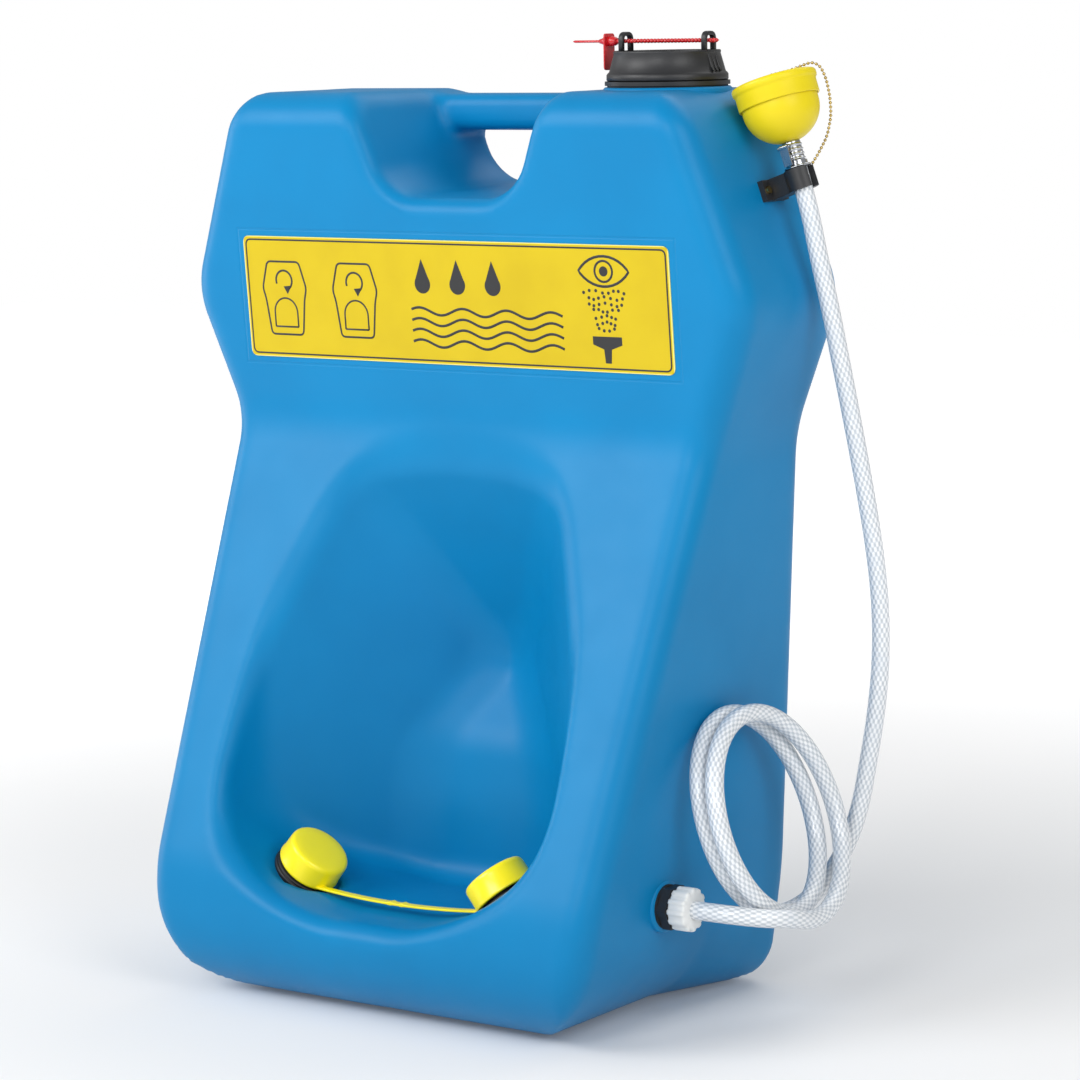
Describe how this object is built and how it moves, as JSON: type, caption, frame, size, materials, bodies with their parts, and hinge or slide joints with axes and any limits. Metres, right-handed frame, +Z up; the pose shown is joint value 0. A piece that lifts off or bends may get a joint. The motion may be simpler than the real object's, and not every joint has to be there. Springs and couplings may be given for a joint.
{
  "type": "portable gravity-fed eyewash station",
  "caption": "Free-standing moulded tank with a face bowl, capped eye-wash nozzles, a sealed screw fill cap, a carrying handle and a coiled drench hose clipped to its side.",
  "frame": {"origin": "middle of the tank's flat base, on the surface it stands on", "axes": "+Z up; -Y out of the bowl, toward the user; +X toward the side that carries the hose"},
  "size_m": [0.6585, 0.3267, 0.843],
  "materials": {
    "tank_blue": "semi-gloss rotomoulded polyethylene",
    "label_yellow": "printed vinyl",
    "cap_yellow": "soft moulded rubber",
    "black_plastic": "semi-matt moulded",
    "white_plastic": "semi-gloss moulded nylon",
    "seal_red": "glossy moulded",
    "black_rubber": "matt",
    "hose_clear": "clear tube over white braid",
    "chrome": "polished",
    "brass": "polished"
  },
  "bodies": {
    "tank": {"bead_chain": "brass", "chain_ring": "chrome", "clip": "black_plastic", "clip_screws": "brass", "fill_neck": "black_plastic", "head_cup": "cap_yellow", "hose_coil": "hose_clear", "hose_entry": "hose_clear", "hose_ferrule": "chrome", "hose_rise": "hose_clear", "hose_tail": "chrome", "label_plate": "label_yellow", "lever_pin": "chrome", "neck_gasket": "black_rubber", "neck_locknut": "black_plastic", "nozzle_body_left": "black_plastic", "nozzle_body_right": "black_plastic", "nozzle_gasket_left": "black_rubber", "nozzle_gasket_right": "black_rubber", "nozzle_locknut_left": "black_plastic", "nozzle_locknut_right": "black_plastic", "outlet_fitting": "black_plastic", "outlet_gasket": "black_rubber", "outlet_locknut": "black_plastic", "spray_disc_left": "white_plastic", "spray_disc_right": "white_plastic", "spray_plate": "black_plastic", "stem_tail": "chrome", "tank": "tank_blue", "valve_body": "chrome"},
    "fill_gasket": {"cap_gasket": "black_rubber"},
    "fill_cap": {"fill_cap": "black_plastic", "seal_strap": "seal_red", "seal_tag": "seal_red"},
    "left_cap": {"nozzle_cap_left": "cap_yellow", "pull_strap": "cap_yellow"},
    "right_cap": {"nozzle_cap_right": "cap_yellow"},
    "dust_cap": {"dust_cap": "cap_yellow", "chain_stud": "chrome"},
    "squeeze_lever": {"squeeze_lever": "chrome"},
    "valve_plunger": {"valve_plunger": "chrome"},
    "hose_nut": {"hose_nut": "white_plastic"}
  },
  "joints": [
    {"name": "cap_lift", "type": "slide", "parent": "tank", "child": "fill_gasket", "axis": [0, 0, 1], "range_m": [0, 0.012]},
    {"name": "cap_turn", "type": "hinge", "parent": "fill_gasket", "child": "fill_cap", "pos_m": [0.168, 0.092, 0.8], "axis": [0, 0, 1], "range_deg": [0, 1080]},
    {"name": "left_cap_pull", "type": "slide", "parent": "tank", "child": "left_cap", "axis": [0.6428, 0, 0.766], "range_m": [0, 0.055], "deforming": ["pull_strap"]},
    {"name": "right_cap_pull", "type": "slide", "parent": "left_cap", "child": "right_cap", "axis": [-1, 0, 0], "range_m": [0, 0.071]},
    {"name": "dust_cap_lift", "type": "slide", "parent": "tank", "child": "dust_cap", "axis": [-0.309, 0, 0.9511], "range_m": [0, 0.055], "deforming": ["bead_chain"]},
    {"name": "lever_squeeze", "type": "hinge", "parent": "tank", "child": "squeeze_lever", "pos_m": [0.29161, 0.081, 0.74579], "axis": [0.9511, 0, 0.309], "range_deg": [0, 11], "stiffness_Nm_per_rad": 0.02, "springref_deg": -8.59},
    {"name": "plunger_push", "type": "slide", "parent": "tank", "child": "valve_plunger", "axis": [0, 1, 0], "range_m": [0, 0.0021]},
    {"name": "nut_spin", "type": "hinge", "parent": "tank", "child": "hose_nut", "pos_m": [0.2405, -0.036, 0.111], "axis": [1, 0, 0], "continuous": true}
  ],
  "couplings": [
    {"joint": "cap_lift", "follows": "cap_turn", "m_per_rad": 0.00063662},
    {"joint": "right_cap_pull", "follows": "left_cap_pull", "ratio": 1.2856},
    {"joint": "plunger_push", "follows": "lever_squeeze", "m_per_rad": 0.0105}
  ]
}
